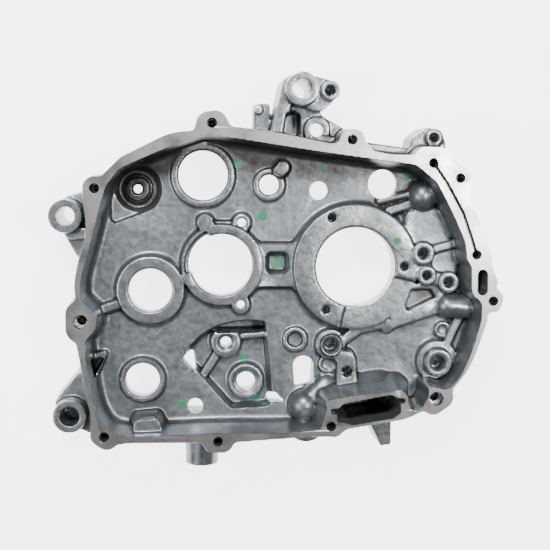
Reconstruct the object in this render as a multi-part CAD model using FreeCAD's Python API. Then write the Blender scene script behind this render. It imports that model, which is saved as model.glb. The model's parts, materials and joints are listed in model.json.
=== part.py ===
import FreeCAD, Part
import math
import os

Vec = FreeCAD.Vector

# Right-hand crankcase half of a small single-cylinder engine, one aluminium casting, in millimetres.
# +Z points out of the clutch side, +Y to the cylinder, +X to the front, and x = y = 0 is the crankshaft axis.
# It is drawn with the joint plane at zero height, then moved so that height zero is the clutch-side floor.

# Heights above the joint plane
joint_z = 0.0
cover_z = 66.0
floor_z = 38.0
floor_thickness = 6.0
back_z = floor_z - floor_thickness

# Casting rules
wall_draft = 3.0
outer_draft = 1.0
parting_z = 33.0
cavity_fillet = 4.0
boss_draft = 0.06
stem_share = 0.9
stem_drop = 0.68
cove = 2.6
cove_sink = 0.15
sink = 2.0
overcut = 8.0

# Screws and dowels
screw_r = 2.9
cover_screw_depth = 22.0
joint_screw_depth = 20.0
lobe_r = 7.4
retainer_screw_r = 2.6
retainer_screw_depth = 11.5
pump_screw_depth = 12.0
strainer_screw_depth = 13.4
post_screw_depth = 14.0
ear_screw_r = 3.2
ear_screw_depth = 11.0
breather_r = 4.4
lug_screw_r = 2.8
lug_screw_depth = 14.0

# Bearing seats in the bearing wall
crank_seat_r = 26.0
main_shaft_seat_r = 20.0
counter_shaft_seat_r = 14.0
drum_seat_r = 11.0
idler_seat_r = 16.0
shift_shaft_r = 6.4

# Centre distances from the crankshaft axis
crank = (0.0, 0.0)
main_shaft = (-87.5, 1.5)
counter_shaft = (-134.0, -15.0)
drum = (-139.5, -74.5)
idler = (-99.5, 59.5)
selector = (-142.0, 50.6)
shift_shaft = (-56.5, 53.5)

# Spring posts of the sunk plate
upper_post = (-84.8, -50.2)
lower_post = (-71.5, -76.6)
upper_post_z = 40.0
lower_post_z = 37.5
upper_post_bore_r = 3.6
lower_post_bore_r = 6.0
upper_post_seat_r = 5.6
lower_post_seat_r = 9.0
post_seat_depth = 1.0

# Engine mounting tubes
mount_bore_r = 6.1
mount_tube_r = 11.2
top_mount = (-36.5, 115.0)
upper_rear_mount = (-187.5, 33.5)
lower_rear_mount = (-186.4, -96.2)
blind_mount_depth = 30.0
top_mount_z = 55.0
rear_mount_z = 52.0


# Outlines

def turn_of(points, i):
    """Unit directions into and out of a corner, and the signed turn there."""
    n = len(points)
    a, b, c = points[i - 1], points[i], points[(i + 1) % n]
    d1 = Vec(b[0] - a[0], b[1] - a[1], 0)
    d2 = Vec(c[0] - b[0], c[1] - b[1], 0)
    l1, l2 = d1.Length, d2.Length
    d1.normalize()
    d2.normalize()
    turn = math.atan2(d1.x * d2.y - d1.y * d2.x, d1.x * d2.x + d1.y * d2.y)
    return d1, d2, l1, l2, turn


def rounded(points, smallest=0.0):
    """Gives every corner of a closed outline its radius, fitted to the edges beside it.

    Corners are (x, y) for a flowing curve or (x, y, radius), and come back counter-clockwise."""
    area = sum(a[0] * b[1] - b[0] * a[1] for a, b in zip(points, points[1:] + points[:1]))
    points = points if area > 0 else points[::-1]
    n = len(points)
    turns = [turn_of(points, i) for i in range(n)]
    halves = [max(math.tan(abs(t[4]) / 2), 1e-6) for t in turns]
    named = [len(p) > 2 for p in points]
    reach = []
    for p, t, half, fixed in zip(points, turns, halves, named):
        free = 0.49 * min(t[2], t[3])
        reach.append(max(p[2], smallest) * half if fixed else max(free, min(smallest * half, free)))
    for i in range(n):
        j = (i + 1) % n
        room = 0.98 * turns[i][3]
        if reach[i] + reach[j] > room:
            if named[i] and not named[j]:
                reach[i] = min(reach[i], room)
                reach[j] = room - reach[i]
            elif named[j] and not named[i]:
                reach[j] = min(reach[j], room)
                reach[i] = room - reach[j]
            else:
                share = room / (reach[i] + reach[j])
                reach[i], reach[j] = reach[i] * share, reach[j] * share
    return [(p[0], p[1], length / half) for p, length, half in zip(points, reach, halves)]


def inset(points, d):
    """The outline moved inwards by d, with arcs kept concentric."""
    out = []
    for i, p in enumerate(points):
        d1, d2, l1, l2, turn = turn_of(points, i)
        normal = Vec(-(d1.y + d2.y), d1.x + d2.x, 0)
        normal.normalize()
        step = d / math.cos(turn / 2)
        r = p[2] - d if turn > 0 else p[2] + d
        out.append((p[0] + normal.x * step, p[1] + normal.y * step, max(r, 0.05)))
    return out


def wire(points, z):
    """A closed wire of lines and tangent arcs at height z."""
    ends = []
    for i, p in enumerate(points):
        d1, d2, l1, l2, turn = turn_of(points, i)
        r = p[2]
        t = r * math.tan(abs(turn) / 2)
        corner = Vec(p[0], p[1], z)
        start = corner - d1 * t
        stop = corner + d2 * t
        side = 1 if turn > 0 else -1
        middle = None
        if abs(turn) > 1e-4 and t > 1e-3:
            centre = start + Vec(-d1.y, d1.x, 0) * (r * side)
            bulge = corner - centre
            bulge.normalize()
            middle = centre + bulge * r
        ends.append((start, middle, stop))
    edges = []
    for i, (start, middle, stop) in enumerate(ends):
        before = ends[i - 1][2]
        if (start - before).Length > 1e-4:
            edges.append(Part.LineSegment(before, start).toShape())
        if middle is not None:
            edges.append(Part.Arc(start, middle, stop).toShape())
    return Part.Wire(edges)


def prism(points, z_low, z_high):
    face = Part.Face(wire(rounded(points), z_low))
    return face.extrude(Vec(0, 0, z_high - z_low))


def tapered(points, z_low, z_high, inset_low, inset_high, smallest=0.0):
    """A prism whose outline moves inwards by one amount at its foot and another at its top."""
    base = rounded(points, smallest)
    low = wire(inset(base, inset_low), z_low)
    high = wire(inset(base, inset_high), z_high)
    return Part.makeLoft([low, high], True, True)


def lobe(x, y, r, angle, reach, flare):
    """Four corners that carry an outline round a screw lobe; angle is the outward direction."""
    a = math.radians(angle)
    u = Vec(math.cos(a), math.sin(a), 0)
    t = Vec(-u.y, u.x, 0)
    c = Vec(x, y, 0)
    corners = [
        (c - t * (r + flare) - u * reach, 4.0),
        (c - t * r + u * r, r),
        (c + t * r + u * r, r),
        (c + t * (r + flare) - u * reach, 4.0),
    ]
    return [(p.x, p.y, radius) for p, radius in corners]


# Round features

def cyl(x, y, r, z_low, z_high):
    return Part.makeCylinder(r, z_high - z_low, Vec(x, y, z_low))


def cone(x, y, r_low, r_high, z_low, z_high):
    return Part.makeCone(r_low, r_high, z_high - z_low, Vec(x, y, z_low))


def boss(x, y, r, z_top, z_base=None, fillet=cove):
    """A round cast boss with draft and a hollow fillet at its foot, standing on z_base."""
    z_base = floor_z if z_base is None else z_base
    height = z_top - z_base
    foot = min(fillet, 0.9 * height)
    r_foot = r + boss_draft * (height - foot)
    low = z_base - cove_sink
    centre = Vec(r_foot + foot, 0, low + foot)
    a = Vec(r_foot, 0, low + foot)
    b = Vec(r_foot + foot, 0, low)
    mid = centre + Vec(-math.cos(math.pi / 4), 0, -math.sin(math.pi / 4)) * foot
    under = z_base - sink
    corners = [Vec(0, 0, z_top), Vec(r, 0, z_top), a]
    edges = [Part.LineSegment(corners[0], corners[1]).toShape()]
    edges.append(Part.LineSegment(corners[1], a).toShape())
    edges.append(Part.Arc(a, mid, b).toShape())
    edges.append(Part.LineSegment(b, Vec(b.x, 0, under)).toShape())
    edges.append(Part.LineSegment(Vec(b.x, 0, under), Vec(0, 0, under)).toShape())
    edges.append(Part.LineSegment(Vec(0, 0, under), Vec(0, 0, z_top)).toShape())
    solid = Part.Face(Part.Wire(edges)).revolve(Vec(0, 0, 0), Vec(0, 0, 1), 360)
    solid.translate(Vec(x, y, 0))
    return solid


def back_boss(x, y, r, z_low, fillet=cove):
    """The same boss hanging from the underside of the bearing wall."""
    up = boss(x, y, r, 2 * back_z - z_low, back_z, fillet)
    return up.mirror(Vec(0, 0, back_z), Vec(0, 0, 1))


def rib(x1, y1, x2, y2, width, z_top, z_base=None, draft=0.8, round_end=True):
    """A straight cast rib with sloping flanks from one point to another."""
    z_base = floor_z - sink if z_base is None else z_base
    d = Vec(x2 - x1, y2 - y1, 0)
    d.normalize()
    t = Vec(-d.y, d.x, 0)
    h = width / 2
    a, b = Vec(x1, y1, 0), Vec(x2, y2, 0)
    r = h * 0.98 if round_end else 0.4
    ends = h if round_end else 0.0
    corners = [a - d * ends - t * h, b + d * ends - t * h, b + d * ends + t * h, a - d * ends + t * h]
    points = [(p.x, p.y, r) for p in corners]
    return tapered(points, z_base, z_top, -draft, 0.0)


# Gasket face for the clutch cover: screw places and outlines

cover_screws = [
    (-94.0, 92.5),
    (-167.5, 51.5),
    (-163.0, -106.5),
    (-90.5, -110.5),
    (-17.5, -101.5),
    (87.0, -20.5),
    (64.0, 58.5),
    (-5.5, 82.5),
]
dowel_screws = [(-177.0, -32.5), (51.0, -84.0)]
gallery_holes = [(46.5, 68.0), (75.5, 9.5)]
gallery_r = 2.9
gallery_depth = 12.0
dowel_r = 4.4
dowel_depth = 9.0

# Screws of the joint face stand under the same lobes, save beside the cylinder mouth
joint_screws = cover_screws[:-1] + [(-27.0, 79.0), (46.5, 69.5)]

outer_rim = (
    lobe(-94.0, 92.5, lobe_r, 97, 3.5, 4.0)
    + [(-120.0, 86.5), (-151.0, 71.0, 14.0)]
    + [(-163.2, 59.2, 3.0), (-174.9, 58.8, lobe_r), (-174.9, 45.0, 10.0)]
    + [(-172.0, 24.0), (-178.0, 7.0), (-181.0, -9.0)]
    + lobe(-177.0, -32.5, 9.6, 180, -3.0, 4.0)
    + [(-177.5, -60.0), (-175.5, -75.0), (-171.5, -91.0, 12.0)]
    + lobe(-163.0, -106.5, lobe_r, 235, 0.5, 2.5)
    + [(-147.5, -110.8), (-112.0, -111.2)]
    + lobe(-90.5, -110.5, lobe_r, 270, -0.8, 3.0)
    + [(-45.5, -109.0), (-24.0, -108.3), (-13.0, -108.6, 5.5), (-8.0, -103.8, 5.0)]
    + [(6.5, -101.2), (31.5, -97.5)]
    + lobe(51.0, -84.0, 9.0, 305, -1.5, 2.5)
    + [(71.5, -66.0), (77.0, -53.5), (83.5, -33.0)]
    + lobe(87.0, -20.5, 6.2, 340, 1.0, 1.5)
    + [(90.0, -8.0, 4.0), (85.5, 3.0, 5.0), (85.0, 11.5, 6.0), (78.5, 28.0), (71.5, 42.0)]
    + [(69.9, 47.5, 5.0), (71.0, 62.3, 6.4), (58.5, 69.6, 4.0)]
    + [(56.5, 78.0, 8.6), (37.5, 78.4, 8.6), (34.6, 73.0, 4.0)]
    + [(19.5, 73.0), (8.0, 75.5, 6.0)]
    + lobe(-5.5, 82.5, 6.6, 95, 2.0, 2.0)
    + [(-20.0, 80.0, 5.0), (-38.0, 83.8), (-60.0, 88.0)]
)

inner_rim = [
    (-98.5, 85.5, 22.0),
    (-122.5, 77.2),
    (-152.0, 64.0, 16.0),
    (-160.5, 53.0, 14.0),
    (-164.5, 40.0),
    (-170.0, 18.0),
    (-177.0, -6.0),
    (-177.2, -18.4, 8.0),
    (-167.1, -28.5, 9.7),
    (-167.1, -36.7, 9.7),
    (-174.7, -44.3, 8.0),
    (-174.0, -58.0),
    (-171.0, -77.0),
    (-168.0, -92.0),
    (-160.5, -104.5, 14.0),
    (-145.0, -107.2),
    (-99.0, -105.4),
    (-81.0, -105.2),
    (-45.0, -105.8),
    (-20.0, -103.0),
    (10.0, -96.5),
    (37.0, -93.0, 7.0),
    (42.5, -79.0, 6.0),
    (48.4, -75.7, 7.0),
    (57.6, -79.4, 7.3),
    (66.2, -71.0),
    (74.0, -54.0),
    (80.2, -31.0),
    (79.5, -21.0, 6.5),
    (73.0, -16.0, 6.0),
    (72.6, 2.0, 6.0),
    (69.2, 7.0, 6.0),
    (68.5, 17.0),
    (58.5, 39.0),
    (49.0, 56.0, 9.0),
    (35.5, 67.0, 9.0),
    (-29.5, 75.5),
    (-78.0, 83.0),
]

# Joining helpers

def level_edges(shape, z):
    return [e for e in shape.Edges if all(abs(v.Z - z) < 1e-3 for v in e.Vertexes)]


def pocket(points, z_low, z_high, draft, fillet):
    """A tool for a cast pocket with sloping sides and a rounded floor."""
    tool = tapered(points, z_low, z_high, draft, 0.0, fillet + draft + 0.3)
    return tool.makeFillet(fillet, level_edges(tool, z_low))


def block(points, z_low, z_high, draft, fillet):
    """A raised cast block with sloping sides and rounded upper edges."""
    solid = tapered(points, z_low, z_high, -draft, 0.0, fillet + 0.3)
    return solid.makeFillet(fillet, level_edges(solid, z_high))


def dome(x, y, r, z_top):
    """A round-topped cast bump on a short stem that ends inside the ball and flows into the floor."""
    ball = Part.makeSphere(r, Vec(x, y, z_top - r))
    stem_top = z_top - stem_drop * r
    stem = boss(x, y, stem_share * r, stem_top, floor_z, stem_top - floor_z - 0.3)
    return ball.fuse(stem)


def capsule(a, b, r):
    """A round bar with ball ends between two points, for cast-in oil ways."""
    a, b = Vec(*a), Vec(*b)
    bar = Part.makeCylinder(r, (b - a).Length, a, b - a)
    return bar.multiFuse([Part.makeSphere(r, a), Part.makeSphere(r, b)])


def sector(x, y, r_in, r_out, start, stop, z_low, z_high):
    """Part of a ring between two angles, as a cutting tool."""
    turn = stop - start
    reach = Part.makeCylinder(r_out, z_high - z_low, Vec(x, y, z_low), Vec(0, 0, 1), turn)
    reach.rotate(Vec(x, y, 0), Vec(0, 0, 1), start)
    return reach.cut(cyl(x, y, r_in, z_low - 1, z_high + 1))


def hole(x, y, r, z_top, depth, mouth=0.5):
    """A blind drilled hole with a broken edge and a drill-point bottom."""
    straight = cyl(x, y, r, z_top - depth, z_top + 1)
    tip = cone(x, y, 0.05, r, z_top - depth - 0.5 * r, z_top - depth)
    rim = cone(x, y, r, r + mouth + 0.5, z_top - mouth, z_top + 0.5)
    return straight.multiFuse([tip, rim])


def bore(x, y, r, z_top, mouth=0.9):
    """A bore right through, with a broken edge at its upper mouth."""
    straight = cyl(x, y, r, -1.0, z_top + 1)
    rim = cone(x, y, r, r + mouth + 0.5, z_top - mouth, z_top + 0.5)
    return straight.fuse(rim)


# Outer shell and the tool that hollows the clutch side

def outer_shell():
    upper = tapered(outer_rim, parting_z, cover_z, -outer_draft, 0.0)
    lower = tapered(outer_rim, joint_z, parting_z, 0.0, -outer_draft)
    return upper.fuse(lower)


def clutch_cavity():
    tool = tapered(inner_rim, floor_z, cover_z + overcut, wall_draft, -0.6, 7.5)
    return tool.makeFillet(cavity_fillet, level_edges(tool, floor_z))


# Outside features: engine mounts, cylinder deck, drain boss, foot

deck_height = 81.5
deck_half_length = 42.0
deck_top_z = 46.0
deck_thickness = 14.0
cylinder_tilt = 7.7
spigot_r = 30.0
chamber_r = 53.0
chamber_wall = 7.0


def mount_tube(x, y, z_top):
    return cone(x, y, mount_tube_r, mount_tube_r - 0.4, joint_z, z_top)


def top_mount_parts():
    x, y = top_mount
    web = [
        (-49.0, 76.0), (-12.0, 76.0), (-6.0, 89.0, 2.0), (-22.0, 98.0, 5.0),
        (-26.0, 106.0), (-47.0, 108.0, 3.0),
    ]
    ear_web = [
        (-36.0, 104.0), (-24.0, 100.0), (-16.0, 107.0, 6.0), (-11.0, 113.0, 5.0),
        (-16.5, 121.0, 5.0), (-34.0, 125.5),
    ]
    strut = [
        (-57.0, 82.0), (-49.5, 82.0), (-43.5, 103.0), (-36.0, 124.5, 3.0),
        (-42.5, 125.0, 4.0), (-47.8, 120.5, 4.0),
    ]
    lug = [(-66.0, 80.0), (-55.0, 80.0), (-55.5, 107.0, 2.0), (-66.0, 106.0, 2.5)]
    return [
        mount_tube(x, y, top_mount_z),
        tapered(web, 18.0, 41.0, -0.8, 0.0),
        tapered(ear_web, 30.0, 43.0, -0.6, 0.0),
        tapered(strut, joint_z + 6.0, 47.0, -1.0, 0.0),
        tapered(lug, 12.0, 30.0, -0.5, 0.0),
        cyl(-63.0, 102.5, 2.6, 28.0, 32.0),
        cyl(-17.2, 114.6, 6.4, 30.0, 44.0),
        cyl(-26.0, 89.0, 8.3, 18.0, 45.0),
    ]


def rear_mount_parts():
    upper_web = [
        (-191.5, 23.5, 3.0), (-180.5, 3.5), (-170.0, 4.0), (-165.0, 46.0),
        (-178.0, 48.6, 4.0), (-190.5, 44.6, 3.0),
    ]
    upper_rib = [(-188.0, 18.5), (-165.0, 18.5), (-165.0, 25.0), (-188.0, 26.0)]
    lower_web = [
        (-193.5, -106.0, 3.0),
        (-180.0, -108.0, 8.0),
        (-171.0, -112.0),
        (-160.0, -100.0),
        (-166.0, -68.0),
        (-179.5, -67.0),
        (-197.5, -89.0, 4.0),
    ]
    return [
        mount_tube(upper_rear_mount[0], upper_rear_mount[1], rear_mount_z),
        mount_tube(lower_rear_mount[0], lower_rear_mount[1], rear_mount_z),
        tapered(upper_web, 10.0, 34.0, -0.8, 0.0),
        tapered(upper_rib, 20.0, 46.0, -0.8, 0.0),
        tapered(lower_web, 10.0, 38.0, -0.8, 0.0),
    ]


def deck_parts():
    """The cylinder deck: a bar square to the tilted cylinder axis, with the hooked lug at its front end."""
    back = deck_height - deck_thickness
    bar = prism(
        [(-deck_half_length, back, 1.0), (deck_half_length, back, 1.0),
         (deck_half_length, deck_height, 2.0), (-deck_half_length, deck_height, 2.0)],
        joint_z, deck_top_z)
    bar = turned(bar)
    hook = [
        (33.0, 70.0), (58.5, 66.0), (58.3, 81.0, 3.0), (55.5, 90.0, 5.5),
        (45.0, 91.0, 7.0), (36.0, 84.5, 5.0),
    ]
    return [bar, tapered(hook, 20.0, deck_top_z, -0.6, 0.0), cyl(50.5, 84.4, 5.6, 30.0, deck_top_z + 1.5)]


def underside_parts():
    drain = Part.makeCylinder(11.0, 40.0, Vec(-100.7, -94.0, 26.0), Vec(0, -1, 0))
    foot = [(9.8, -94.0), (24.2, -94.0), (24.2, -117.8, 1.2), (17.2, -118.6, 1.2), (10.8, -105.0, 4.0)]
    return [
        drain,
        tapered(foot, 16.0, 50.0, -0.8, 0.0),
        cone(-32.0, -102.5, 14.2, 13.2, joint_z, 48.0),
    ]


# Hollows of the joint side

def turned(shape):
    """Swings a shape drawn about the +Y axis onto the tilted cylinder axis."""
    shape.rotate(Vec(0, 0, 0), Vec(0, 0, 1), -cylinder_tilt)
    return shape


def crank_chamber():
    tool = cyl(crank[0], crank[1], chamber_r, joint_z - 1, back_z)
    tool = tool.makeFillet(4.0, level_edges(tool, back_z))
    spigot = Part.makeCylinder(spigot_r, deck_height + 5.0, Vec(0, 0, 0), Vec(0, 1, 0))
    throat = [(-38.5, 26.0), (36.5, 26.0), (36.5, 66.5), (-38.5, 66.5)]
    throat = tapered([(x, y, 8.0) for x, y in throat], joint_z - 1, back_z, 0.0, 1.0)
    mouth = tool.multiFuse([turned(spigot), turned(throat)])
    return mouth


def gearbox_hollow():
    points = [
        (-24.0, -64.0), (-44.0, -52.0), (-44.0, 72.0), (-98.0, 80.5),
        (-121.0, 73.0), (-147.0, 60.5), (-160.0, 36.0),
        (-165.0, 14.0), (-169.0, -7.0), (-163.0, -18.0), (-161.0, -46.0), (-156.0, -54.0),
        (-156.0, -84.0), (-148.0, -98.0), (-100.0, -101.0), (-60.0, -99.0), (-26.0, -95.0),
    ]
    tool = tapered([(x, y, 6.0) for x, y in points], joint_z - 1, back_z, 0.0, 1.5)
    return tool.cut(cyl(0, 0, chamber_r + chamber_wall, joint_z - 2, back_z + 1))


def front_hollow():
    points = [(38.0, -44.0), (56.0, -58.0), (67.0, -52.0), (75.0, -33.0), (80.0, -10.0), (76.0, 11.0),
              (68.0, 29.0), (56.0, 46.0), (40.0, 42.0)]
    tool = tapered([(x, y, 4.0) for x, y in points], joint_z - 1, back_z, 0.0, 1.5)
    return tool.cut(cyl(0, 0, chamber_r + chamber_wall, joint_z - 2, back_z + 1))


def sump_hollow():
    points = [(-18.0, -77.0), (34.0, -73.5), (34.0, -50.0), (-18.0, -55.0)]
    tool = tapered([(x, y, 3.0) for x, y in points], joint_z - 1, back_z - 4, 0.0, 1.0)
    return tool.cut(cyl(0, 0, chamber_r + chamber_wall, joint_z - 2, back_z + 1))


# Bearing bosses and ribs standing on the clutch-side floor

crank_ring_r = 41.0
crank_ring_z = 47.0
main_ring_r = 26.5
main_ring_z = 45.0
counter_ring_r = 22.0
counter_ring_z = 44.0
drum_ring_r = 14.6
drum_ring_z = 41.5
idler_ring_r = 20.9
idler_ring_z = 40.0
pump_plateau_z = 48.0
relief_block_z = 47.2
bridge_z = 44.3
ring_step = 3.0


def bearing_bosses():
    shift_lug = [(-55.0, 62.2, 2.0), (-48.2, 58.6, 2.0), (-41.6, 64.5, 5.0), (-48.0, 71.0, 5.0)]
    return [
        boss(crank[0], crank[1], crank_ring_r, crank_ring_z, floor_z, 4.6),
        boss(main_shaft[0], main_shaft[1], main_ring_r, main_ring_z, floor_z, 3.6),
        boss(-98.4, 29.3, 5.2, main_ring_z),
        rib(-94.0, 20.0, -98.0, 28.0, 9.5, main_ring_z),
        rib(-98.0, 25.5, -76.0, 25.5, 8.0, 41.5, draft=1.6),
        boss(-74.5, 29.0, 5.8, 43.5),
        rib(-78.5, 20.0, -74.5, 29.0, 11.0, 43.5),
        boss(-75.2, -24.6, 5.8, main_ring_z),
        rib(-78.5, -17.0, -75.2, -24.6, 11.0, main_ring_z),
        boss(counter_shaft[0], counter_shaft[1], counter_ring_r, counter_ring_z, floor_z, 4.2),
        rib(-150.0, -22.5, -172.0, -30.0, 5.0, 42.5, draft=2.0),
        boss(drum[0], drum[1], drum_ring_r, drum_ring_z),
        boss(idler[0], idler[1], idler_ring_r, idler_ring_z, floor_z, 1.4),
        boss(shift_shaft[0], shift_shaft[1], 10.5, idler_ring_z, floor_z, 1.4),
        tapered(shift_lug, floor_z - sink, 44.0, -1.6, 0.0),
        boss(-39.0, -48.5, 8.0, 40.5, floor_z, 1.6),
    ]


def bridge():
    """The web between the main shaft and crankshaft bosses, with splayed ends."""
    points = [
        (-76.0, -20.0, 1.0), (-62.5, -12.8, 3.0), (-41.5, -12.8, 3.0), (-30.5, -25.0, 1.0),
        (-30.5, 26.0, 1.0), (-41.0, 15.0, 3.0), (-62.5, 15.0, 3.0), (-76.0, 23.0, 1.0),
    ]
    return tapered(points, floor_z - sink, bridge_z, -1.6, 0.0)


def oil_pump_area():
    """Bosses and webs below and to the right of the crankshaft ring."""
    block_r = [
        (-12.0, -79.0, 1.5), (2.0, -79.0, 1.5), (1.0, -62.0, 8.0),
        (-1.5, -55.5, 4.0), (-11.0, -55.5, 4.0),
    ]
    wedge = [(21.0, -36.0), (30.0, -36.0), (60.0, -27.0), (58.0, -11.5), (37.0, -11.5), (28.0, -24.0)]
    shelf = [(50.0, -8.0), (66.0, -10.0), (70.0, 14.0), (50.0, 12.0)]
    return [
        boss(-15.7, -51.5, 9.8, 43.8),
        boss(-15.7, -51.5, 6.9, pump_plateau_z, 43.8, 1.0),
        block(block_r, floor_z - sink, relief_block_z, 1.0, 0.8),
        rib(-14.0, -53.0, -7.5, -62.0, 8.0, 46.5),
        boss(-17.5, -64.9, 5.8, 42.0, floor_z, 1.5),
        boss(-17.0, -74.0, 6.0, 41.0, floor_z, 1.5),
        rib(-10.0, -51.0, 2.5, -42.0, 6.0, 43.5),
        rib(2.5, -42.0, 17.5, -38.6, 5.4, 43.5),
        boss(22.0, -39.6, 4.2, 43.5, floor_z, 1.6),
        rib(24.0, -38.6, 60.0, -26.6, 6.0, 44.0),
        tapered([(x, y, 3.0) for x, y in wedge], floor_z - sink, 44.0, -1.5, 0.0),
        tapered([(x, y, 3.0) for x, y in shelf], floor_z - sink, 43.0, -3.0, 0.0),
        boss(44.6, 8.8, 7.2, pump_plateau_z),
        boss(47.2, -5.6, 6.0, pump_plateau_z),
        boss(61.7, -10.2, 6.6, pump_plateau_z),
        rib(44.6, 8.8, 47.2, -5.6, 8.5, 46.5),
        rib(47.2, -5.6, 61.7, -10.2, 8.0, 45.5),
        rib(49.0, 10.6, 70.0, 16.4, 4.6, 45.0, draft=1.6),
        dome(64.7, -25.8, 8.8, 48.6),
        capsule((62.0, -26.0, 41.5), (74.0, -27.0, 41.5), 7.8),
        boss(59.6, -42.6, 5.2, 41.0, floor_z, 1.6),
        boss(56.0, -63.5, 13.6, 43.0, floor_z, 3.6),
        boss(55.4, -63.4, 8.8, 50.0, 43.0, 1.4),
        rib(61.5, -54.5, 66.0, -43.0, 4.6, 43.0, draft=2.0),
        rib(66.0, -43.0, 72.0, -31.0, 4.6, 43.0, draft=2.0),
    ]


def stud_boss_area():
    """The cylinder stud boss and its webs between the crankshaft ring and the upper front wall."""
    shelf = [(33.0, 20.0), (42.0, 12.0), (66.0, 18.0), (55.0, 38.0), (34.0, 36.0)]
    return [
        dome(45.0, 46.6, 10.6, 49.0),
        capsule((44.5, 46.6, 40.4), (55.0, 50.4, 40.4), 8.0),
        tapered([(x, y, 5.0) for x, y in shelf], floor_z - sink, 42.0, -3.5, 0.0),
        rib(16.0, 43.0, 38.0, 48.2, 3.0, 42.8, draft=2.2),
        rib(22.6, 36.6, 38.0, 41.6, 4.6, 42.4, draft=2.8),
    ]


def sump_area():
    """The oil strainer box, the cast oil way left of it and the stepped block on the lower wall."""
    box = [
        (-25.0, -106.0, 2.0), (41.0, -106.0, 2.0), (38.0, -94.0, 3.0), (34.5, -91.0, 3.0), (32.0, -82.0, 3.0),
        (27.6, -77.5, 4.0), (22.0, -79.2), (-2.0, -81.4), (-17.0, -83.8), (-21.6, -85.5, 2.5),
        (-20.2, -90.0), (-22.5, -97.5),
    ]
    apron = [(-14.0, -100.0, 3.0), (21.0, -98.0, 3.0), (21.5, -80.8, 5.0), (14.0, -81.4), (-8.0, -85.0, 5.0)]
    notch = [
        (-145.6, -112.0, 2.0), (-125.6, -112.0, 2.0), (-126.8, -103.0, 2.0),
        (-129.6, -97.0, 2.0), (-144.6, -98.4, 2.0),
    ]
    frame = [(-179.0, -82.0, 1.0), (-173.5, -81.0, 1.5), (-161.5, -54.5, 1.5), (-179.0, -58.5, 1.0)]
    return [
        tapered(box, floor_z - sink, cover_z, -7.5, 0.0),
        tapered(apron, floor_z - sink, 62.0, -12.5, 0.0),
        dome(-32.9, -92.7, 10.9, 49.6),
        capsule((-32.0, -92.0, 38.5), (-18.5, -79.5, 36.5), 8.8),
        tapered(notch, floor_z - sink, 57.0, -3.2, 0.0),
        tapered(frame, floor_z - sink, 41.5, -0.8, 0.0),
    ]


def joint_side_bosses():
    """Bearing bosses and ribs under the floor, and the thick floor behind the sunk pockets."""
    window_back = [
        (-118.0, -60.0), (-97.0, -34.0), (-56.0, -30.0), (-48.0, -36.0),
        (-48.0, -99.0), (-86.0, -100.0),
    ]
    slot_block = [(-98.0, -50.0), (-52.0, -50.0), (-47.0, -34.0), (-51.0, -27.0), (-98.0, -33.0)]
    return [
        back_boss(crank[0], crank[1], 33.0, 29.5, 1.6),
        back_boss(main_shaft[0], main_shaft[1], 25.5, 30.5, 1.0),
        back_boss(counter_shaft[0], counter_shaft[1], 19.0, 30.5, 1.0),
        back_boss(drum[0], drum[1], 16.0, 29.5, 1.6),
        back_boss(idler[0], idler[1], 20.5, 29.0, 2.0),
        back_boss(shift_shaft[0], shift_shaft[1], 10.0, 29.0, 2.0),
        back_boss(selector[0], selector[1], 17.5, selector_floor_z - floor_thickness),
        tapered([(x, y, 3.0) for x, y in window_back], 23.5, back_z + sink, 0.0, -1.0),
        rib(-134.5, -37.0, -138.0, -56.0, 6.0, back_z + sink, 22.0),
        rib(-92.5, 31.0, -96.0, 37.0, 6.0, back_z + sink, 22.0),
        tapered([(x, y, 3.0) for x, y in slot_block], slot_block_z, back_z + sink, 0.0, -0.5),
    ]


# Sunk pockets of the clutch side

window_floor_z = 30.0
selector_floor_z = 29.5
slot_floor_z = 15.0
slot_block_z = 12.0
scoop_floor_z = 38.5


def sunk_pockets():
    window = [
        (-113.6, -60.0, 3.0), (-82.0, -96.0, 4.0), (-54.5, -94.5, 3.0), (-53.0, -84.0),
        (-56.3, -49.0), (-58.0, -35.5, 2.5), (-73.0, -34.2), (-89.5, -37.8), (-97.0, -41.0),
        (-105.5, -47.2), (-112.5, -55.2),
    ]
    corner = [
        (-160.0, 26.5, 3.5), (-149.0, 30.8), (-131.0, 37.5, 12.0), (-125.0, 48.0), (-128.5, 63.0, 12.0),
        (-140.0, 66.5), (-152.0, 61.0, 10.0), (-160.5, 48.0),
    ]
    scoop = [(32.0, -88.0), (40.5, -92.5), (46.0, -82.0), (45.0, -69.0), (36.0, -69.0)]
    recess = [(34.4, -29.6), (37.0, -29.6), (55.4, -20.6), (51.4, -14.4), (37.4, -14.4), (33.6, -26.0)]
    bridge_pocket = [(-59.0, -5.0), (-43.6, -5.0), (-43.6, 10.4), (-59.0, 10.4)]
    ear_recess = [(-48.6, 85.0), (-35.6, 84.0), (-35.6, 99.5), (-41.0, 102.5), (-46.2, 99.5)]
    frame_pocket = [(-175.6, -73.5, 1.0), (-172.2, -75.0, 1.0), (-163.5, -58.6, 1.5), (-176.2, -60.8, 1.0)]
    return [
        pocket(window, window_floor_z, floor_z + 3.0, 3.4, 1.2),
        pocket(corner, 35.5, floor_z + 1.0, 1.0, 1.2),
        cone(selector[0], selector[1], 12.6, 15.2, selector_floor_z, 36.5),
        pocket([(x, y, 4.0) for x, y in scoop], scoop_floor_z, cover_z + 1, 2.4, 2.0),
        tapered([(x, y, 1.6) for x, y in recess], 36.4, 52.0, 0.8, 0.0),
        pocket([(x, y, 4.2) for x, y in bridge_pocket], 36.0, bridge_z + 0.5, 2.2, 1.4),
        tapered(frame_pocket, 10.0, 50.0, 0.5, 0.0),
        tapered([(x, y, 3.0) for x, y in ear_recess], 27.0, 50.0, 1.0, 0.0).cut(outer_shell()),
    ]


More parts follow.
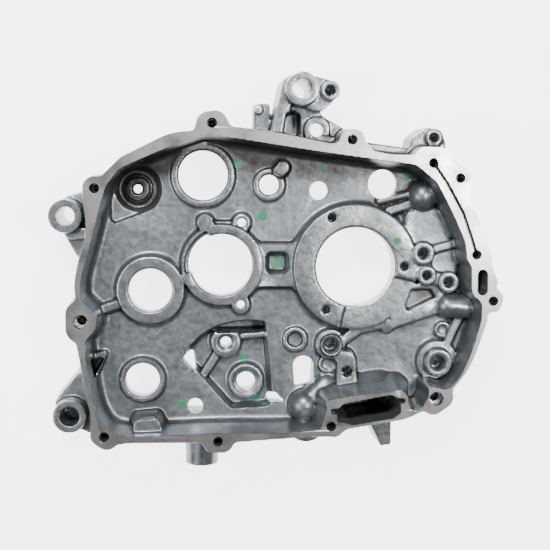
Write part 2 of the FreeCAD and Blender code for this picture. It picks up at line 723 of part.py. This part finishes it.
def strainer_pocket():
    points = [
        (-13.6, -98.8, 1.5), (-9.2, -99.3, 1.5), (-3.8, -100.8, 2.0), (23.0, -96.6, 2.0), (27.8, -93.0, 2.0),
        (27.2, -84.0, 1.5), (21.4, -81.2, 2.0), (-9.3, -86.6, 2.0), (-13.9, -91.0, 2.0),
    ]
    left_nib = [(-17.6, -93.6), (-12.0, -93.6), (-12.0, -89.8), (-17.6, -89.8)]
    right_nib = [(25.0, -87.2), (30.6, -86.6), (30.6, -83.4), (25.0, -84.0)]
    tools = [tapered(points, 12.0, cover_z + 1, 0.8, 0.0)]
    for nib in (left_nib, right_nib):
        tools.append(prism([(x, y, 0.6) for x, y in nib], 52.0, cover_z + 1))
    return tools


# Features inside the sunk pockets

def window_parts():
    """The two spring-post bosses and their ribs on the sunk plate."""
    return [
        boss(upper_post[0], upper_post[1], 9.7, upper_post_z, window_floor_z),
        boss(lower_post[0], lower_post[1], 11.2, lower_post_z, window_floor_z),
        rib(-76.0, -46.8, -54.0, -45.2, 3.6, 37.0, window_floor_z - sink),
        rib(-90.0, -57.5, -100.5, -74.0, 4.6, 36.0, window_floor_z - sink),
        boss(selector[0], selector[1], 9.4, selector_floor_z + 2.2, selector_floor_z, 0.8),
        boss(selector[0], selector[1], 7.4, selector_floor_z + 5.0, selector_floor_z, 1.0),
        boss(23.0, -90.0, 5.6, 24.0, 12.5, 1.0),
    ]


# Drilling and machining

def windows_through():
    left = [(-113.8, -60.8, 1.2), (-104.2, -72.0, 1.0), (-106.4, -55.4, 1.2)]
    top = [(-94.5, -44.0, 1.2), (-58.4, -43.6, 1.2), (-58.4, -37.0, 1.2), (-73.0, -36.0), (-87.5, -39.2)]
    arch = [(-39.0, -80.5, 1.5), (-26.2, -77.2, 1.5), (-26.8, -60.0, 6.4), (-40.6, -60.0, 6.4)]
    tear = [
        (-57.5, -90.8, 3.0), (-43.0, -91.6, 1.0), (-48.5, -88.2),
        (-52.0, -83.4, 3.0), (-57.6, -86.0, 3.0),
    ]
    tools = [prism(p, joint_z - 1, floor_z + 6) for p in (left, arch, tear)]
    tools.append(prism(top, slot_floor_z, floor_z + 6))
    tools.append(cyl(-105.1, -92.9, 5.1, joint_z - 1, floor_z + 4))
    tools.append(cyl(-23.7, 49.8, 6.1, joint_z - 1, floor_z + 4))
    tools.append(cyl(18.5, 54.1, 9.6, joint_z - 1, floor_z + 4))
    return tools


def bearing_bores():
    tools = [
        bore(crank[0], crank[1], crank_seat_r, crank_ring_z),
        bore(main_shaft[0], main_shaft[1], main_shaft_seat_r, main_ring_z),
        bore(counter_shaft[0], counter_shaft[1], counter_shaft_seat_r, counter_ring_z),
        bore(drum[0], drum[1], drum_seat_r, drum_ring_z),
        bore(idler[0], idler[1], idler_seat_r, idler_ring_z),
        bore(shift_shaft[0], shift_shaft[1], shift_shaft_r, idler_ring_z),
        sector(0, 0, 10.0, crank_ring_r + 2.0, -104.5, -13.0, crank_ring_z - ring_step, crank_ring_z + 1),
        sector(*main_shaft, 10.0, 24.6, 114.0, 194.0, main_ring_z - ring_step, main_ring_z + 1),
        sector(*main_shaft, 10.0, 21.8, 114.0, 194.0, joint_z, main_ring_z + 1),
    ]
    return tools


def screw_holes():
    tools = [
        hole(-15.7, 32.5, retainer_screw_r, crank_ring_z, retainer_screw_depth),
        hole(-19.2, -27.9, retainer_screw_r, crank_ring_z, retainer_screw_depth),
        hole(32.5, 0.3, retainer_screw_r, crank_ring_z, retainer_screw_depth),
        cyl(-74.5, 29.0, 2.7, joint_z - 1, 50.0),
        cyl(-75.2, -24.6, 2.6, joint_z - 1, 50.0),
        hole(44.6, 8.8, 3.4, pump_plateau_z, pump_screw_depth, 0.8),
        hole(47.2, -5.6, 2.8, pump_plateau_z, pump_screw_depth, 0.6),
        hole(61.7, -10.2, 3.3, pump_plateau_z, pump_screw_depth, 0.6),
        hole(-5.1, -69.1, 3.6, relief_block_z, strainer_screw_depth, 0.4),
        hole(-15.7, -51.5, 4.2, pump_plateau_z, pump_screw_depth, 2.2),
        hole(55.4, -63.4, 4.5, 50.0, post_screw_depth, 1.6),
        cyl(-39.0, -48.5, 5.2, 38.2, 45.0),
        cyl(-17.5, -64.9, 4.2, 40.8, 45.0),
        cyl(59.6, -42.6, 3.4, 40.0, 45.0),
        cyl(upper_post[0], upper_post[1], upper_post_bore_r, joint_z - 1, 50.0),
        cyl(upper_post[0], upper_post[1], upper_post_seat_r, upper_post_z - post_seat_depth, 50.0),
        cyl(lower_post[0], lower_post[1], lower_post_bore_r, joint_z - 1, 50.0),
        cyl(lower_post[0], lower_post[1], lower_post_seat_r, lower_post_z - post_seat_depth, 50.0),
        cyl(selector[0], selector[1], 2.8, joint_z - 1, 50.0),
        cone(selector[0], selector[1], 2.8, 4.6, selector_floor_z + 3.6, selector_floor_z + 5.4),
        hole(-17.2, 114.6, ear_screw_r, 44.0, ear_screw_depth),
        cyl(-26.0, 89.0, breather_r, joint_z - 1, 50.0),
        cyl(-26.0, 89.0, breather_r + 1.8, joint_z - 1, 34.0),
        hole(50.5, 84.4, lug_screw_r, deck_top_z + 1.5, lug_screw_depth),
    ]
    for x, y in (top_mount, upper_rear_mount):
        tools.append(cyl(x, y, mount_bore_r, joint_z - 1, 70.0))
    tools.append(hole(*lower_rear_mount, mount_bore_r, rear_mount_z, blind_mount_depth, 0.6))
    drain = Part.makeCylinder(6.0, 40.0, Vec(-100.7, -137.0, 26.0), Vec(0, 1, 0))
    tools.append(drain)
    return tools


def gasket_face_holes():
    tools = [hole(x, y, screw_r, cover_z, cover_screw_depth, 0.3) for x, y in cover_screws]
    for x, y in dowel_screws:
        tools.append(hole(x, y, screw_r, cover_z, cover_screw_depth, 0.1))
        tools.append(cyl(x, y, dowel_r, cover_z - dowel_depth, cover_z + 1))
    for x, y in gallery_holes:
        tools.append(hole(x, y, gallery_r, cover_z, gallery_depth, 0.2))
    slot = [(76.7, -16.8, 3.0), (82.9, -16.8, 3.0), (82.9, -0.2, 3.0), (76.7, -0.2, 3.0)]
    tools.append(prism(slot, cover_z - 20.0, cover_z + 1))
    route = [(46.5, 68.0), (55.6, 55.2), (66.2, 36.4), (71.4, 22.0), (75.5, 9.5)]
    for a, b in zip(route, route[1:]):
        tools.append(groove(a, b, 1.7, cover_z - 2.5))
    return tools


def groove(a, b, width, z_low):
    """A round-ended milled groove between two points."""
    d = Vec(b[0] - a[0], b[1] - a[1], 0)
    d.normalize()
    t = Vec(-d.y, d.x, 0)
    h = width / 2
    a, b = Vec(a[0], a[1], 0) - d * h, Vec(b[0], b[1], 0) + d * h
    corners = [a - t * h, b - t * h, b + t * h, a + t * h]
    return prism([(p.x, p.y, h * 0.98) for p in corners], z_low, cover_z + 1)


def joint_face_holes():
    tools = []
    for x, y in joint_screws:
        tools.append(cyl(x, y, screw_r, joint_z - 1, joint_screw_depth))
    return tools


def build():
    casting = outer_shell()
    casting = casting.multiFuse(top_mount_parts() + rear_mount_parts() + deck_parts() + underside_parts())
    print("outside", casting.isValid(), round(casting.Volume))
    casting = casting.cut([clutch_cavity(), crank_chamber(), gearbox_hollow(), front_hollow(), sump_hollow()])
    print("hollows", casting.isValid(), round(casting.Volume))
    added = bearing_bosses() + [bridge()] + oil_pump_area() + stud_boss_area() + joint_side_bosses()
    inside = outer_shell()
    added = added + [part.common(inside) for part in sump_area()]
    casting = casting.multiFuse(added)
    print("bosses", casting.isValid(), round(casting.Volume))
    casting = casting.cut(sunk_pockets() + strainer_pocket())
    print("pockets", casting.isValid(), round(casting.Volume))
    casting = casting.multiFuse(window_parts())
    print("window parts", casting.isValid(), round(casting.Volume))
    casting = casting.cut(windows_through() + bearing_bores() + screw_holes())
    print("holes", casting.isValid(), round(casting.Volume))
    above = Part.makeBox(400, 400, 60, Vec(-250, -200, cover_z))
    below = Part.makeBox(400, 400, 60, Vec(-250, -200, joint_z - 60))
    casting = casting.cut(gasket_face_holes() + joint_face_holes() + [above, below])
    print("machined", casting.isValid(), round(casting.Volume), "solids", len(casting.Solids))
    return casting


casting = build()
casting.translate(Vec(0, 0, -floor_z))
os.makedirs("parts", exist_ok=True)
casting.exportStep("parts/crankcase_half.step")
box = casting.BoundBox
print("size", round(box.XLength, 1), round(box.YLength, 1), round(box.ZLength, 1))
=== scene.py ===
import bpy
import json
import math
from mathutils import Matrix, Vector


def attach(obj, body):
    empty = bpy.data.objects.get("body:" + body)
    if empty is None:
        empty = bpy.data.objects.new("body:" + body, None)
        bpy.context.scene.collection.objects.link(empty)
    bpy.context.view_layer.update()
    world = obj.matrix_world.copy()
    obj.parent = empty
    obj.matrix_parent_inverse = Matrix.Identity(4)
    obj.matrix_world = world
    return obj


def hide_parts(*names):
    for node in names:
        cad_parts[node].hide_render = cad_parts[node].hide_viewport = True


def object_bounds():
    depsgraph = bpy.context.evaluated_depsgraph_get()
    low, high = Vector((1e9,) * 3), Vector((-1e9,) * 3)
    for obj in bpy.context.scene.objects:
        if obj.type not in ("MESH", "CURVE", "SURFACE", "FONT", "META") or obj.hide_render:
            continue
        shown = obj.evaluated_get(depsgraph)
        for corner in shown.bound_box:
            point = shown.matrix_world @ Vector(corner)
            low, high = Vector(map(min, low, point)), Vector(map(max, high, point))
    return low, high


mm = 0.001
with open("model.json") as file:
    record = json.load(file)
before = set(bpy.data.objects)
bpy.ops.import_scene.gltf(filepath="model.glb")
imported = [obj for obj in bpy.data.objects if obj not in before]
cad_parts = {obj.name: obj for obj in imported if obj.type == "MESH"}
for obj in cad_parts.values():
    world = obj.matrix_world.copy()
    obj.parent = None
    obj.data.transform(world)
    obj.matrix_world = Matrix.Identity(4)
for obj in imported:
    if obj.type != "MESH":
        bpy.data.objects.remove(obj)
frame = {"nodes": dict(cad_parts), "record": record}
cadLow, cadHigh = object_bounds()
mounts = frame["record"]["mounts"]
print("frame loaded")


# Camera, light and floor

view = {
    "eye": (-0.1028, 0.0636, 0.728),
    "target": (-0.0543, -0.0031, 0.028),
    "sensor": 36.0,
    "lens": 72.73,
    "nearClip": 0.01,
}

studio = {
    "worldGrey": 0.14,
    "worldBlue": 1.03,      # a share above the grey
    "floorGlow": 3.8,
    "floorGrey": 0.8,
    "floorRough": 0.9,
    "floorSize": 6.0,
    "lookAt": (-0.05, 0.0, 0.0),
    # place, width, power
    "lamps": {
        "keyLamp": ((-0.25, 0.72, 1.10), 0.20, 22.0),
        "rimLamp": ((0.46, 0.12, 1.30), 0.24, 12.0),
        "fillLamp": ((-0.85, -0.10, 0.90), 0.50, 8.0),
    },
}


def aim(item, place, target):
    item.location = place
    item.rotation_mode = "QUATERNION"
    sight = Vector(target) - Vector(place)
    item.rotation_quaternion = Vector((0, 0, -1)).rotation_difference(sight)
    bpy.context.scene.collection.objects.link(item)


def makeCamera():
    lens = bpy.data.cameras.new("viewCamera")
    lens.sensor_width = view["sensor"]
    lens.lens = view["lens"]
    lens.clip_start = view["nearClip"]
    camera = bpy.data.objects.new("viewCamera", lens)
    aim(camera, view["eye"], view["target"])
    bpy.context.scene.camera = camera


def makeLamps():
    for name, (place, width, power) in studio["lamps"].items():
        lamp = bpy.data.lights.new(name, "AREA")
        lamp.energy = power
        lamp.size = width
        aim(bpy.data.objects.new(name, lamp), place, studio["lookAt"])
    world = bpy.data.worlds.new("studioWorld")
    world.use_nodes = True
    background = world.node_tree.nodes["Background"]
    grey = studio["worldGrey"]
    background.inputs["Color"].default_value = (grey, grey, grey * studio["worldBlue"], 1)
    bpy.context.scene.world = world


# Materials

class Value:
    # wraps a number socket, so that shader maths is written as plain maths
    def __init__(self, graph, socket):
        self.graph = graph
        self.socket = socket

    def math(self, operation, *operands):
        inputs = dict(enumerate(operands))
        return self.graph.node("ShaderNodeMath", {"operation": operation}, inputs)

    def __add__(self, other):
        return self.math("ADD", self, other)

    def __radd__(self, other):
        return self.math("ADD", other, self)

    def __sub__(self, other):
        return self.math("SUBTRACT", self, other)

    def __rsub__(self, other):
        return self.math("SUBTRACT", other, self)

    def __mul__(self, other):
        return self.math("MULTIPLY", self, other)

    def __rmul__(self, other):
        return self.math("MULTIPLY", other, self)

    def most(self, other):
        return self.math("MAXIMUM", self, other)

    def ramp(self, low, high, atLow=0.0, atHigh=1.0):
        # a smooth step between two values
        inputs = {
            "Value": self,
            "From Min": low,
            "From Max": high,
            "To Min": atLow,
            "To Max": atHigh,
        }
        return self.graph.node("ShaderNodeMapRange", {"interpolation_type": "SMOOTHSTEP"}, inputs)


class Graph:
    # one material's nodes
    def __init__(self, name):
        self.material = bpy.data.materials.new(name)
        self.material.use_nodes = True
        self.tree = self.material.node_tree
        self.shader = self.tree.nodes["Principled BSDF"]
        self.place = self.node("ShaderNodeTexCoord", output="Object")

    def feed(self, socket, value):
        if isinstance(value, Value):
            self.tree.links.new(value.socket, socket)
        else:
            socket.default_value = value

    def node(self, kind, settings=None, inputs=None, output=0):
        made = self.tree.nodes.new(kind)
        for name, value in (settings or {}).items():
            setattr(made, name, value)
        for name, value in (inputs or {}).items():
            self.feed(made.inputs[name], value)
        return Value(self, made.outputs[output])

    def noise(self, scale, detail=2.0, rough=0.5, stretch=(1, 1, 1)):
        place = self.node("ShaderNodeMapping", inputs={"Vector": self.place, "Scale": stretch})
        inputs = {"Vector": place, "Scale": scale, "Detail": detail, "Roughness": rough}
        return self.node("ShaderNodeTexNoise", inputs=inputs)

    def blend(self, factor, first, second):
        # sockets 6 and 7 and output 2 are the Mix node's colours
        inputs = {0: factor, 6: first, 7: second}
        return self.node("ShaderNodeMix", {"data_type": "RGBA"}, inputs, output=2)

    def along(self, axis):
        # the place along X, Y or Z, as 0, 1 or 2
        return self.node("ShaderNodeSeparateXYZ", inputs={0: self.place}, output=axis)

    def facing(self, axis):
        # how far the surface faces along X, Y or Z
        normal = self.node("ShaderNodeNewGeometry", output="Normal")
        return self.node("ShaderNodeSeparateXYZ", inputs={0: normal}, output=axis)

    def near(self, spot, radius, softness, wobble=0.0, strength=1.0):
        # full strength inside a ball round a spot given in millimetres, 0 outside
        centre = [value * mm for value in spot]
        inputs = {0: self.place, 1: centre}
        gap = self.node("ShaderNodeVectorMath", {"operation": "DISTANCE"}, inputs, output=1)
        inner, outer = (radius - softness) * mm, (radius + softness) * mm
        return (gap + wobble).ramp(inner, outer, strength, 0.0)

    def bump(self, strength, distance, height, before=None):
        inputs = {"Strength": strength, "Distance": distance, "Height": height}
        if before:
            inputs["Normal"] = before
        return self.node("ShaderNodeBump", inputs=inputs)

    def finish(self, constants, varying):
        for name, value in {**constants, **varying}.items():
            self.feed(self.shader.inputs[name], value)
        return self.material


skin = {
    "pale": (0.225, 0.242, 0.257, 1),
    "dark": (0.135, 0.147, 0.158, 1),
    # painted shade: near black in the concave corners
    "crease": (0.012, 0.012, 0.012, 1),
    # painted highlight: pale colour on the convex edges
    "worn": (0.72, 0.75, 0.77, 1),
    "rubbed": (0.27, 0.286, 0.297, 1),
    # painted shade: brownish dark for the shadow under the top wall and the shaded recesses
    "soot": (0.040, 0.034, 0.028, 1),
    "metallic": 0.80,
    # noise: scale, detail, roughness
    "patches": (28.0, 4.0, 0.6),
    "speckle": (260.0, 3.0, 0.6),
    "grain": (1500.0, 2.0, 0.6),
    "waves": (75.0, 2.0, 0.5),
    "patchRange": (0.3, 0.7),
    "patchShare": 0.6,
    "speckleRange": (0.25, 0.75),
    "speckleShare": 0.4,
    # ramps: from, to, value at the one, value at the other
    "creaseRamp": (0.44, 0.498, 0.95, 0.0),
    "wornRamp": (0.518, 0.57, 0.0, 0.8),
    "wornSpeckle": (0.3, 0.6, 0.6, 1.0),
    "roughRamp": (0.2, 0.8, 0.30, 0.44),
    # what the rubbed tops take: colour, less painted edge highlight, less roughness, flatter waves
    "rubbedShare": 0.75,
    "rubbedUnworn": 0.7,
    "rubbedSmooth": 0.08,
    "rubbedFlat": 0.93,
    # bumps: strength, distance
    "waveBump": (0.4, 0.0010),
    "speckleBump": (0.35, 0.0004),
    "grainBump": (0.3, 0.00012),
}

paint = {
    "green": (0.004, 0.19, 0.075, 1),
    # place in millimetres beside the crankshaft axis, and radius
    "dots": [
        ((-76.8, 67.0, 0.0), 2.7),
        ((-20.4, 65.3, 0.0), 1.6),
        ((34.0, 58.9, 0.0), 2.4),
        ((-60.7, 33.1, 0.0), 3.2),
        ((-50.3, 2.0, -2.0), 3.2),
        ((27.0, 17.3, 9.0), 2.6),
        ((-72.5, -62.4, -8.0), 2.6),
        ((-22.0, -72.2, 0.0), 2.2),
        ((-63.7, -89.7, -8.0), 2.2),
        ((-103.2, -55.3, -6.0), 2.0),
        ((-113.9, -91.5, 0.0), 2.4),
    ],
    "edge": 0.6,
    "wobbleScale": 500.0,
    "wobbleReach": 0.0016,
}

paintedShade = {
    # painted shade in the recesses and the pockets: place in millimetres, radius, softness,
    # strength
    "marks": [
        ((-142.0, 50.6, -8.0), 14.0, 5.0, 0.75),
        ((-108.2, 42.5, 0.0), 3.0, 2.2, 0.55),
        ((-134.0, -96.0, 4.0), 14.0, 8.0, 0.45),
        ((20.0, 62.0, 4.0), 26.0, 16.0, 0.5),
        ((-20.0, 68.0, 6.0), 20.0, 14.0, 0.55),
        ((-70.0, 74.0, 6.0), 20.0, 14.0, 0.5),
        ((7.0, -92.0, -17.0), 20.0, 3.0, 0.97),
        ((-3.0, -92.5, -2.0), 12.5, 2.0, 0.95),
        ((16.0, -90.0, -2.0), 12.5, 2.0, 0.95),
        ((45.0, -18.0, -1.5), 7.0, 4.0, 0.6),
    ],
    # the painted shadow band under the top wall, along Y: it leaves out the ears beyond it and the
    # outer wall
    "bandRamp": (0.050, 0.064, 0.0, 0.8),
    "bandEnd": (0.084, 0.088, 1.0, 0.0),
    "bandFacing": (0.1, 0.4, 1.0, 0.0),
    "wobbleScale": 90.0,
    "wobbleDetail": 3.0,
    "wobbleReach": 0.012,
    "markWobble": 0.5,
}


def paintedShadeMask(graph):
    # painted shade: the shadow band under the top wall, and dark spots in the recesses
    wobble = (graph.noise(paintedShade["wobbleScale"], paintedShade["wobbleDetail"]) - 0.5) * paintedShade["wobbleReach"]
    upPart = graph.along(1)
    band = (upPart + wobble).ramp(*paintedShade["bandRamp"])
    mask = band * upPart.ramp(*paintedShade["bandEnd"]) * graph.facing(1).ramp(*paintedShade["bandFacing"])
    for spot, radius, softness, strength in paintedShade["marks"]:
        mark = graph.near(spot, radius, softness, wobble * paintedShade["markWobble"], strength)
        mask = mask.most(mark)
    return mask


def paintMask(graph):
    wobble = (graph.noise(paint["wobbleScale"]) - 0.5) * paint["wobbleReach"]
    mask = None
    for spot, radius in paint["dots"]:
        dot = graph.near(spot, radius, paint["edge"], wobble)
        mask = dot if mask is None else mask.most(dot)
    return mask


tops = {
    "tilt": (0.965, 0.99),
    "aboveFloor": (0.0014, 0.0019),
    "underWall": (-0.0064, -0.0069),
    # raised places that keep their cast skin: place in millimetres and radius
    "asCast": [((24.0, 42.0, 4.0), 15.0), ((56.0, 27.0, 4.0), 17.0), ((62.0, 2.0, 4.0), 9.0)],
    "asCastEdge": 3.0,
}


def rubbedTops(graph):
    # flat tops of the bosses and rings, above the floor or under the bearing wall
    tilt = graph.facing(2)
    height = graph.along(2)
    steep, flat = tops["tilt"]
    above = tilt.ramp(steep, flat) * height.ramp(*tops["aboveFloor"])
    below = tilt.ramp(-steep, -flat) * height.ramp(*tops["underWall"])
    mask = above.most(below)
    for spot, radius in tops["asCast"]:
        mask = mask * (1 - graph.near(spot, radius, tops["asCastEdge"]))
    return mask


def castSkin():
    graph = Graph("castSkin")
    patches = graph.noise(*skin["patches"])
    speckle = graph.noise(*skin["speckle"])
    grain = graph.noise(*skin["grain"])
    tone = patches.ramp(*skin["patchRange"]) * skin["patchShare"]
    tone = tone + speckle.ramp(*skin["speckleRange"]) * skin["speckleShare"]
    colour = graph.blend(tone, skin["dark"], skin["pale"])
    pointy = graph.node("ShaderNodeNewGeometry", output="Pointiness")
    # painted shade darkens the concave corners
    colour = graph.blend(pointy.ramp(*skin["creaseRamp"]), colour, skin["crease"])
    rubbed = rubbedTops(graph)
    # painted highlight along the convex edges, broken up by the speckle and weaker on the rubbed
    # tops
    worn = pointy.ramp(*skin["wornRamp"]) * speckle.ramp(*skin["wornSpeckle"])
    worn = worn * (1 - rubbed * skin["rubbedUnworn"])
    colour = graph.blend(worn, colour, skin["worn"])
    # painted shade in the recesses and under the top wall
    colour = graph.blend(paintedShadeMask(graph), colour, skin["soot"])
    colour = graph.blend(rubbed * skin["rubbedShare"], colour, skin["rubbed"])
    dots = paintMask(graph)
    colour = graph.blend(dots, colour, paint["green"])
    rough = speckle.ramp(*skin["roughRamp"]) - rubbed * skin["rubbedSmooth"]
    waves = graph.noise(*skin["waves"])
    normal = graph.bump(*skin["waveBump"], waves * (1 - rubbed * skin["rubbedFlat"]))
    normal = graph.bump(*skin["speckleBump"], speckle, normal)
    normal = graph.bump(*skin["grainBump"], grain, normal)
    varying = {
        "Base Color": colour,
        "Metallic": skin["metallic"] * (1 - dots),
        "Roughness": rough,
        "Normal": normal,
    }
    return graph.finish({}, varying)


milled = {
    "pale": (0.50, 0.50, 0.495, 1),
    "dull": (0.31, 0.31, 0.305, 1),
    "metallic": 0.95,
    "patches": (45.0, 4.0, 0.6),
    "patchRange": (0.3, 0.7),
    "patchShare": 0.7,
    # cutter marks: noise scale, detail, roughness and stretch
    "lines": (60.0, 3.0, 0.7, (1.0, 22.0, 1.0)),
    "lineShare": 0.3,
    "roughRamp": (0.3, 0.75, 0.36, 0.20),
    "lineBump": (0.15, 0.00008),
}


def milledFace():
    graph = Graph("milledFace")
    patches = graph.noise(*milled["patches"])
    lines = graph.noise(*milled["lines"])
    tone = patches.ramp(*milled["patchRange"]) * milled["patchShare"] + lines * milled["lineShare"]
    varying = {
        "Base Color": graph.blend(tone, milled["dull"], milled["pale"]),
        "Roughness": patches.ramp(*milled["roughRamp"]),
        "Normal": graph.bump(*milled["lineBump"], lines),
    }
    return graph.finish({"Metallic": milled["metallic"]}, varying)


bored = {
    "pale": (0.46, 0.47, 0.48, 1),
    "dull": (0.28, 0.29, 0.30, 1),
    "metallic": 0.95,
    "roughness": 0.30,
    # turning marks: noise scale, detail, roughness and stretch
    "rings": (900.0, 2.0, 0.5, (0.03, 0.03, 1.0)),
    "ringBump": (0.25, 0.00006),
}


def boredWall():
    graph = Graph("boredWall")
    rings = graph.noise(*bored["rings"])
    varying = {
        "Base Color": graph.blend(rings, bored["dull"], bored["pale"]),
        "Normal": graph.bump(*bored["ringBump"], rings),
    }
    constants = {"Metallic": bored["metallic"], "Roughness": bored["roughness"]}
    return graph.finish(constants, varying)


def floorWhite():
    graph = Graph("floorWhite")
    grey = studio["floorGrey"]
    constants = {
        "Base Color": (grey, grey, grey, 1),
        "Roughness": studio["floorRough"],
        "Emission Color": (1, 1, 1, 1),
        "Emission Strength": studio["floorGlow"],
    }
    return graph.finish(constants, {})


# Modelling helpers

def only(item):
    bpy.ops.object.select_all(action="DESELECT")
    item.select_set(True)
    bpy.context.view_layer.objects.active = item


def modify(item, kind, **settings):
    only(item)
    modifier = item.modifiers.new(kind.lower(), kind)
    for name, value in settings.items():
        setattr(modifier, name, value)
    bpy.ops.object.modifier_apply(modifier=modifier.name)


def makeFloor():
    bpy.ops.object.select_all(action="DESELECT")
    bpy.ops.mesh.primitive_plane_add(size=studio["floorSize"], location=(0, 0, cadLow.z))
    floor = bpy.context.object
    floor.name = "studioFloor"
    floor.data.materials.append(floorWhite())


casting = {
    "weld": 1e-6,           # doubles closer than this are merged
    "voxel": 0.0007,
    "smoothTimes": 3,
    "smoothShare": 0.5,
    "triangles": 185000,
    "slots": {"skin": 0, "milled": 1, "bored": 2},
    "faceCut": 0.0003,      # how far the milled faces are cut back into the softened casting
    "slabReach": 0.02,
    "slabWidth": 0.5,
    "boreCut": 0.0001,
    "boreReach": 0.001,     # how far a cutter stands out of its mouth
    "boreSides": 72,
    "holeSides": 32,
    "boreFrom": 0.01,       # a hole of more than this radius gets boreSides
    "sharpAngle": 35.0,
    # holes of the oil pump bosses in millimetres: x, y, radius, top, depth
    "pumpHoles": [
        (44.6, 8.8, 3.4, 10.0, 12.0),
        (47.2, -5.6, 2.8, 10.0, 12.0),
        (61.7, -10.2, 3.3, 10.0, 12.0),
        (-5.1, -69.1, 3.6, 9.2, 13.4),
        (-15.7, -51.5, 4.2, 10.0, 12.0),
        (55.4, -63.4, 4.5, 12.0, 14.0),
    ],
    "pumpReach": 1.0,
}


def softCasting():
    # the casting with the rounded edges that sand and die leave
    node = frame["nodes"]["crankcase_half"]
    item = bpy.data.objects.new("crankcaseCasting", node.data.copy())
    bpy.context.scene.collection.objects.link(item)
    item.data.materials.clear()
    for material in (castSkin(), milledFace(), boredWall()):
        item.data.materials.append(material)
    only(item)
    bpy.ops.object.mode_set(mode="EDIT")
    bpy.ops.mesh.select_all(action="SELECT")
    bpy.ops.mesh.remove_doubles(threshold=casting["weld"])
    bpy.ops.object.mode_set(mode="OBJECT")
    modify(item, "REMESH", mode="VOXEL", voxel_size=casting["voxel"], adaptivity=0.0)
    modify(item, "SMOOTH", factor=casting["smoothShare"], iterations=casting["smoothTimes"])
    share = casting["triangles"] / (2 * len(item.data.polygons))
    modify(item, "DECIMATE", ratio=share, use_collapse_triangulate=True)
    print("casting softened", len(item.data.polygons))
    return item


def drill(place, radius, low, high, sides):
    # one straight cutter along Z
    bpy.ops.object.select_all(action="DESELECT")
    middle = (place[0], place[1], (low + high) / 2)
    bpy.ops.mesh.primitive_cylinder_add(
        vertices=sides, radius=radius, depth=high - low, location=middle)
    return bpy.context.object


def makeCutters():
    # one tool for all the holes along Z: those of the mounts, then those of the pump bosses
    cutters = []
    for mount in mounts:
        upright = abs(mount["axis"][2]) >= 0.5
        if mount["kind"] not in ("bore", "threaded_hole") or not upright:
            continue
        radius = mount["dims"]["r_mm"] * mm + casting["boreCut"]
        half = mount["dims"]["length_mm"] * mm / 2
        place = mount["pos_m"]
        opensUp = mount["axis"][2] > 0
        sides = casting["boreSides"] if radius > casting["boreFrom"] else casting["holeSides"]
        low = place[2] - half - (0 if opensUp else casting["boreReach"])
        high = place[2] + half + (casting["boreReach"] if opensUp else 0)
        cutters.append(drill(place, radius, low, high, sides))
    for x, y, radius, top, depth in casting["pumpHoles"]:
        low, high = (top - depth) * mm, (top + casting["pumpReach"]) * mm
        cutters.append(drill((x * mm, y * mm), radius * mm, low, high, casting["holeSides"]))
    only(cutters[0])
    for cutter in cutters:
        cutter.select_set(True)
    bpy.ops.object.join()
    tool = bpy.context.object
    bpy.ops.object.transform_apply(location=True, rotation=True, scale=True)
    return tool


def cut(item, tool, slot):
    # the cut faces take one of the casting's material slots
    for material in item.data.materials:
        tool.data.materials.append(material)
    for face in tool.data.polygons:
        face.material_index = slot
    modify(item, "BOOLEAN", operation="DIFFERENCE", solver="MANIFOLD", object=tool)
    bpy.data.objects.remove(tool)


def slab(low, high):
    # a block that planes a face flat, wider than the casting
    bpy.ops.object.select_all(action="DESELECT")
    centre = (cadLow + cadHigh) / 2
    middle = (centre.x, centre.y, (low + high) / 2)
    bpy.ops.mesh.primitive_cube_add(size=1.0, location=middle)
    block = bpy.context.object
    block.scale = (casting["slabWidth"], casting["slabWidth"], high - low)
    bpy.ops.object.transform_apply(location=True, rotation=True, scale=True)
    return block


def makeCasting():
    slots = casting["slots"]
    item = softCasting()
    top, bottom = cadHigh.z, cadLow.z
    cut(item, slab(top - casting["faceCut"], top + casting["slabReach"]), slots["milled"])
    cut(item, slab(bottom - casting["slabReach"], bottom + casting["faceCut"]), slots["milled"])
    cut(item, makeCutters(), slots["bored"])
    only(item)
    bpy.ops.object.shade_smooth_by_angle(angle=math.radians(casting["sharpAngle"]))
    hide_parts("crankcase_half")
    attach(item, "root")
    indices = [face.material_index for face in item.data.polygons]
    print("casting machined", {name: indices.count(slot) for name, slot in slots.items()})


makeCamera()
makeLamps()
makeFloor()
makeCasting()

print("scene done")
